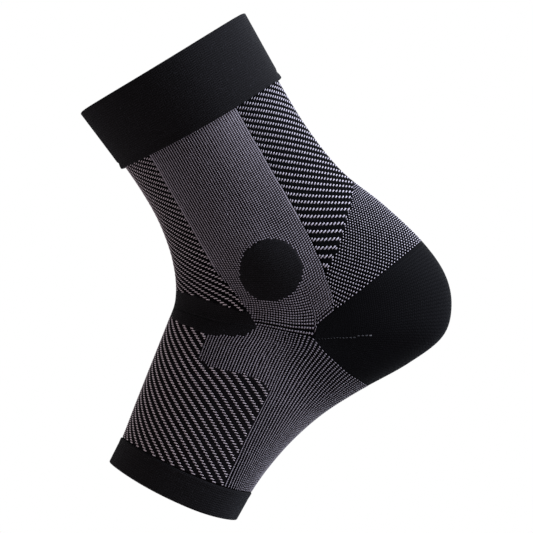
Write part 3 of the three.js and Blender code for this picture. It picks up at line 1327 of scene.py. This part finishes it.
@dataclass
class RibStitches(RaisedStitches):
    """A stitch on each wale, in lines and beads down the strap.

    The half widths hold for the front, the middle and the rear of the strap, and change on the foot and round
    the ankle. The places between which they change are in millimetres, along X on the foot, the arch and
    behind the ankle, and along Z up the leg.
    """

    shoulder: float = 0.84
    half_widths: tuple[float, float, float] = (0.27, 0.24, 0.45)
    ankle_half_width: float = 0.37
    ankle_top: Span = (2.0, 24.0)
    foot_half_widths: Span = (0.15, 0.25)
    foot_narrowing: Span = (-60.0, -20.0)
    line_half_length: float = 0.55
    bead_half_length: float = 0.33
    beads_behind: Span = (-4.0, 14.0)
    beads_top: Span = (20.0, 75.0)
    arch_beads: Span = (-24.0, -6.0)
    edge_half_width: float = 0.42
    edge_end: float = 14.0
    girdle_rows: Span = (0.75, 2.25)
    girdle_half_length: float = 0.36

    def ring(self) -> Array:
        """Turns the points of a stitch along its wale."""
        return super().ring()[::-1, ::-1]

    def lay(self, knit: KnitField, cells: Array) -> Stitches:
        """Lays a stitch on every cell: beads behind and round the ankle and by the heel, lines elsewhere.

        The last course of the leg stays empty, and the two before it are rows of beads.

        Args:
            knit: The field of the knit.
            cells: Wale and course of the zone's cells there.

        Returns:
            The stitches.
        """
        if knit.part is Part.LEG:
            cells = cells[cells[:, 1] < knit.courses - 1]
        middle = cells + 0.5
        near_wale = np.minimum(cells[:, 0], knit.wales - 1 - cells[:, 0])
        front_wale, rear_wale = knit.held_wales
        places = (front_wale, (front_wale + rear_wale) / 2, rear_wale)
        half_wale = np.interp(near_wale, places, self.half_widths)
        x, _, z = np.moveaxis(knit.points(middle[:, 0], middle[:, 1]), -1, 0)
        if knit.part is Part.FOOT:
            beaded = np.interp(x, self.arch_beads, (0, 1))
            half_wale = np.interp(x, self.foot_narrowing, self.foot_half_widths)
        else:
            ankle = np.interp(z, self.ankle_top, (1, 0))
            behind = np.interp(x, self.beads_behind, (0, 1)) * np.interp(z, self.beads_top, (1, 0))
            beaded = np.maximum(ankle, behind)
            half_wale = np.maximum(half_wale, half_wale + (self.ankle_half_width - half_wale) * ankle)
        half_course = self.line_half_length + (self.bead_half_length - self.line_half_length) * beaded
        if knit.part is Part.LEG:
            edge = np.isin(near_wale, (front_wale, rear_wale - 1)) & (z > self.edge_end)
            half_wale[edge] = self.edge_half_width
            half_course[edge] = self.line_half_length
            for place, row in enumerate(self.girdle_rows):
                in_row = cells[:, 1] == knit.courses - 2 - place
                middle[in_row, 1] = knit.courses - row
                half_course[in_row] = self.girdle_half_length
        return Stitches(middle, half_wale, half_course)


@dataclass
class GoreStitches(RaisedStitches):
    """A line of small stitches into the heel pouch, with its places as X and Z in millimetres."""

    line: Line = ((3.0, -39.0), (22.4, -48.5), (27.0, -49.8))
    half_length: float = 0.42
    half_width: float = 0.4
    pale_from: float = 22.0

    def lay(self, knit: KnitField, cells: Array) -> Stitches:
        """Lays small stitches along the line at which the heel pouch was closed, the last few pale.

        Args:
            knit: The field of the knit.
            cells: Wale and course of the zone's cells there.

        Returns:
            The stitches.
        """
        line = np.array(self.line)
        x, _, z = np.moveaxis(knit.points(cells[:, 0] + 0.5, cells[:, 1] + 0.5), -1, 0)
        off = np.abs(z - np.interp(x, line[:, 0], line[:, 1]))
        along = (x > line[0, 0]) & (x < line[-1, 0])
        nearest = [np.flatnonzero(cells[:, 0] == wale)[np.argmin(off[cells[:, 0] == wale])]
                   for wale in np.unique(cells[along, 0])]
        nearest = [place for place in nearest if along[place]]
        middle = cells[nearest] + 0.5
        pale = np.where(x[nearest] > self.pale_from, np.arange(len(middle)) % 2, 0.0)
        half_wale = np.full(len(middle), self.half_length)
        return Stitches(middle, half_wale, np.full(len(middle), self.half_width), pale=pale)


@dataclass
class Welt:
    """A doubled band of plain knit: an outer leaf, a soft fold at the rim and an inner leaf."""

    sleeve: KnitSleeve
    part: Part
    node: str
    finish: JerseyFinish
    rim_row: float = 0.0
    inward: float = 1.0
    row_length: float = 34.0
    deep: float = 34.0
    stand: float = 1.8
    inner: float = -1.5
    leaf: float = 1.5
    lap: float = 7.0
    ridge: float = 0.12
    lip: float = 0.3
    groove_at: float = 4.0
    groove: float = 0.35
    groove_width: float = 0.7
    crook_reach: float = 0.3
    inner_ridges: float = 0.6
    columns_per_wale: int = 2
    texture_margin: float = 0.01
    relaxed_round: float = 250.0
    fold: float = 0.7
    fold_steps: int = 10
    face_steps: int = 22
    inner_steps: int = 12
    edge_steps: int = 4

    def profile(self) -> tuple[Array, Array, Array]:
        """Draws the closed section of the folded band.

        Returns:
            Distance from the rim, height over the form, and share of the wale ridges, at each point.
        """
        half_leaf = self.leaf / 2
        turn = np.linspace(0, math.pi, self.edge_steps + 2)[1:-1]

        def straight(start: float, end: float, height: float) -> Array:
            """Draws one side of a leaf."""
            along = np.linspace(start, end, self.inner_steps)
            return np.stack([along, np.full_like(along, height)], -1)

        def rounded(end: float, height: float) -> Array:
            """Draws the round end of a leaf whose middle has the given height."""
            return np.stack([end + half_leaf * np.sin(turn), height + half_leaf * np.cos(turn)], -1)

        middle, radius = (self.stand + self.inner) / 2, (self.stand - self.inner) / 2
        gap_outer, gap_inner = self.stand - self.leaf, self.inner + self.leaf
        outer_end, inner_end = self.deep - half_leaf, self.deep - self.lap - half_leaf
        angle = np.linspace(0, math.pi, self.fold_steps)
        fold = np.stack([self.fold * (1 - np.sin(angle)), middle - radius * np.cos(angle)], -1)
        down = np.linspace(self.fold, outer_end, self.face_steps)
        groove = np.exp(-(((self.deep - self.groove_at - down) / self.groove_width) ** 2)) * self.groove
        lip = np.clip(1 - (self.deep - down) / self.groove_at, 0, 1) * self.lip
        face = np.stack([down, self.stand - groove + lip], -1)
        hem = rounded(outer_end, self.stand + self.lip - half_leaf)
        back = straight(outer_end, self.leaf, gap_outer)
        back[0, 1] += lip[-1]
        crook = np.array([[self.leaf - self.crook_reach, (gap_outer + gap_inner) / 2]])
        facing = straight(self.leaf, inner_end, gap_inner)
        toe = rounded(inner_end, gap_inner - half_leaf)
        lining = straight(inner_end, self.fold, self.inner)
        section = np.vstack([face, hem, back, crook, facing, toe, lining[:-1], fold[:-1]])
        ridges = np.zeros(len(section))
        ridges[:len(face)] = 1
        ridges[-(len(fold) + len(lining) - 2):] = self.inner_ridges
        return section[:, 0], section[:, 1], ridges

    def build(self) -> bpy.types.Object:
        """Returns:
            The band's object.
        """
        knit = self.sleeve.fields[self.part]
        away, height, ridges = self.profile()
        wale = np.arange(0, knit.wales, 1 / self.columns_per_wale)
        rows = np.clip(self.rim_row + self.inward * away / self.row_length, 0, knit.form.last_row)
        row, column = np.meshgrid(rows, wale, indexing="ij")
        ribbed = np.where(np.arange(len(wale)) % 2 == 0, -0.5, 0.5) * self.ridge
        lift = height[:, None] + ridges[:, None] * ribbed
        points = knit.form.raised(row, knit.turn(row, column), lift)
        steps, columns = row.shape
        here, across = np.meshgrid(np.arange(steps), np.arange(columns), indexing="ij")
        below, beside = (here + 1) % steps, (across + 1) % columns
        faces = np.stack([here * columns + across, below * columns + across,
                          below * columns + beside, here * columns + beside], -1).reshape(-1, 4)
        along = np.stack([here, here + 1, here + 1, here], -1).reshape(-1, 4)
        about = np.stack([across, across, across + 1, across + 1], -1).reshape(-1, 4)
        if self.inward < 0:
            faces, along, about = faces[:, ::-1], along[:, ::-1], about[:, ::-1]
        course = np.concatenate([[0], np.cumsum(np.hypot(np.diff(away), np.diff(height)))])
        course = np.concatenate([course, [course[-1] + np.hypot(away[0] - away[-1], height[0] - height[-1])]])
        draft = MeshDraft()
        draft.add_points(points)
        knit_uv = np.stack([about / self.columns_per_wale, course[along]], -1)
        unit = np.stack([about / columns, along / steps], -1)
        draft.add_faces(faces, knit_uv, unit * (1 - 2 * self.texture_margin) + self.texture_margin)
        piece = draft.build(f"{self.node}_welt", self.finish.material())
        dress(piece, self.node)
        return piece


@dataclass(frozen=True)
class SoftBox:
    """A soft box that hangs round the sleeve and faces it, in metres and watts."""

    name: str
    place: tuple[float, float, float]
    size: Span
    power: float
    tint: Colour

    def build(self) -> None:
        """Hangs the light."""
        data = bpy.data.lights.new(self.name, "AREA")
        data.shape = "RECTANGLE"
        data.size, data.size_y = self.size
        data.energy = self.power
        data.color = self.tint
        light = bpy.data.objects.new(self.name, data)
        bpy.context.scene.collection.objects.link(light)
        light.location = self.place
        light.rotation_euler = (-Vector(self.place)).to_track_quat("-Z", "Y").to_euler()


@dataclass
class Studio:
    """White studio: a pale floor under the sleeve, soft boxes round it and the camera on its near side."""

    image_pixels: int = 533
    pixel_size: float = 0.47
    roll: float = math.radians(30)
    target: tuple[float, float, float] = (-1.0, 0.0, 2.5)
    distance: float = 3.5
    sensor: float = 36.0
    floor_drop: float = 0.14
    floor_side: float = 2.4
    world_light: float = 1.0
    floor_finish: FloorFinish = FloorFinish()
    boxes: tuple[SoftBox, ...] = (
        SoftBox("key_box", (1.65, -0.13, 0.2), (0.8, 1.2), 270.0, (0.74, 0.86, 1.0)),
        SoftBox("rim_box", (0.9, 1.3, 0.4), (1.2, 1.2), 12.0, (0.85, 0.95, 1.0)),
        SoftBox("front_box", (-0.6, -0.2, -0.1), (0.4, 0.4), 6.0, (1.0, 0.93, 0.96)),
    )

    def build(self) -> None:
        """Sets up the world, the floor, the lights and the camera."""
        scene = bpy.context.scene
        scene.view_settings.view_transform = "Standard"
        scene.view_settings.look = "None"
        self.build_world(scene)
        self.build_floor()
        self.build_camera(scene)
        for box in self.boxes:
            box.build()

    def build_world(self, scene: bpy.types.Scene) -> None:
        """Fills the world with white light.

        Args:
            scene: The scene.
        """
        world = bpy.data.worlds.new("studio_white")
        world.use_nodes = True
        background = world.node_tree.nodes["Background"]
        background.inputs["Color"].default_value = (1, 1, 1, 1)
        background.inputs["Strength"].default_value = self.world_light
        scene.world = world

    def build_floor(self) -> None:
        """Lays the floor well under the sleeve."""
        half = self.floor_side / 2
        low = CAD_BOX[0][2] - self.floor_drop
        mesh = bpy.data.meshes.new("floor")
        mesh.from_pydata([(-half, -half, low), (half, -half, low), (half, half, low), (-half, half, low)], [],
                         [(0, 1, 2, 3)])
        mesh.materials.append(self.floor_finish.material())
        floor = bpy.data.objects.new("floor", mesh)
        bpy.context.scene.collection.objects.link(floor)

    def build_camera(self, scene: bpy.types.Scene) -> None:
        """Looks along +Y at the sleeve, rolled as the photograph is.

        Args:
            scene: The scene.
        """
        data = bpy.data.cameras.new("camera")
        data.sensor_width = self.sensor
        data.lens = self.sensor * self.distance / (self.image_pixels * self.pixel_size * MM)
        camera = bpy.data.objects.new("camera", data)
        scene.collection.objects.link(camera)
        right = Vector((math.cos(self.roll), 0, -math.sin(self.roll)))
        up = Vector((math.sin(self.roll), 0, math.cos(self.roll)))
        back = Vector((0, -1, 0))
        turned = Matrix((right, up, back)).transposed().to_4x4()
        place = Vector(self.target) * MM + back * self.distance
        camera.matrix_world = Matrix.Translation(place) @ turned
        scene.camera = camera


def main() -> None:
    """Builds the studio and every piece of the sleeve, and reports each piece."""
    logging.basicConfig(level=logging.INFO, format="%(name)s: %(message)s")
    Studio().build()
    sleeve = KnitSleeve()
    # The ground under the stitches is jersey darkened with painted shade.
    plain, ground, twill_yarn = JerseyFinish(), PaintedShadeGround(), PaleYarnFinish()
    plans = (
        (TwillStitches, Zone.SHIN, twill_yarn, Slot.TWILL, "shin_twill"),
        # The twill yarn on the back of the leg carries a painted tint of the bluish key light.
        (TwillStitches, Zone.ACHILLES, BlueLitBackYarn(), Slot.TWILL, "achilles_twill"),
        (TwillStitches, Zone.INSTEP, twill_yarn, Slot.TWILL, "instep_twill"),
        (DotStitches, Zone.COLLAR, DotYarn(), Slot.DOTTED, "collar_dots"),
        (GoreStitches, Zone.HEEL, GoreYarn(), Slot.PLAIN, "heel_gore"),
    )
    stitched = {zone: [kind(sleeve, zone, finish, slot).build(name)]
                for kind, zone, finish, slot, name in plans}
    ribs = RibStitches(sleeve, Zone.STIRRUP, RibYarn(), Slot.RIB)
    stitched[Zone.STIRRUP] = [ribs.build("stirrup_ribs_left", False), ribs.build("stirrup_ribs_right", True)]
    grounds = {Zone.HEEL: HeelJersey(), Zone.INSTEP: InstepGround()}
    for zone in Zone:
        on_it = stitched.get(zone, [])
        finish = grounds.get(zone, ground if on_it else plain)
        piece = KnitPanel(sleeve, zone, finish).build(on_it)
        for made in (*on_it, piece):
            log.info("%s built with %d faces", made.name, len(made.data.polygons))
    cuff = Welt(sleeve, Part.LEG, "top_cuff", plain)
    hem = Welt(sleeve, Part.FOOT, "toe_hem", plain, rim_row=15.0, inward=-1.0, row_length=14.3, deep=14.0,
               stand=0.5, inner=-1.7, leaf=1.05, lap=0.5, lip=0.0, groove_at=3.0, groove=0.1,
               relaxed_round=220.0)
    for welt in (cuff, hem):
        log.info("%s built", welt.build().name)


if __name__ == "__main__":
    main()
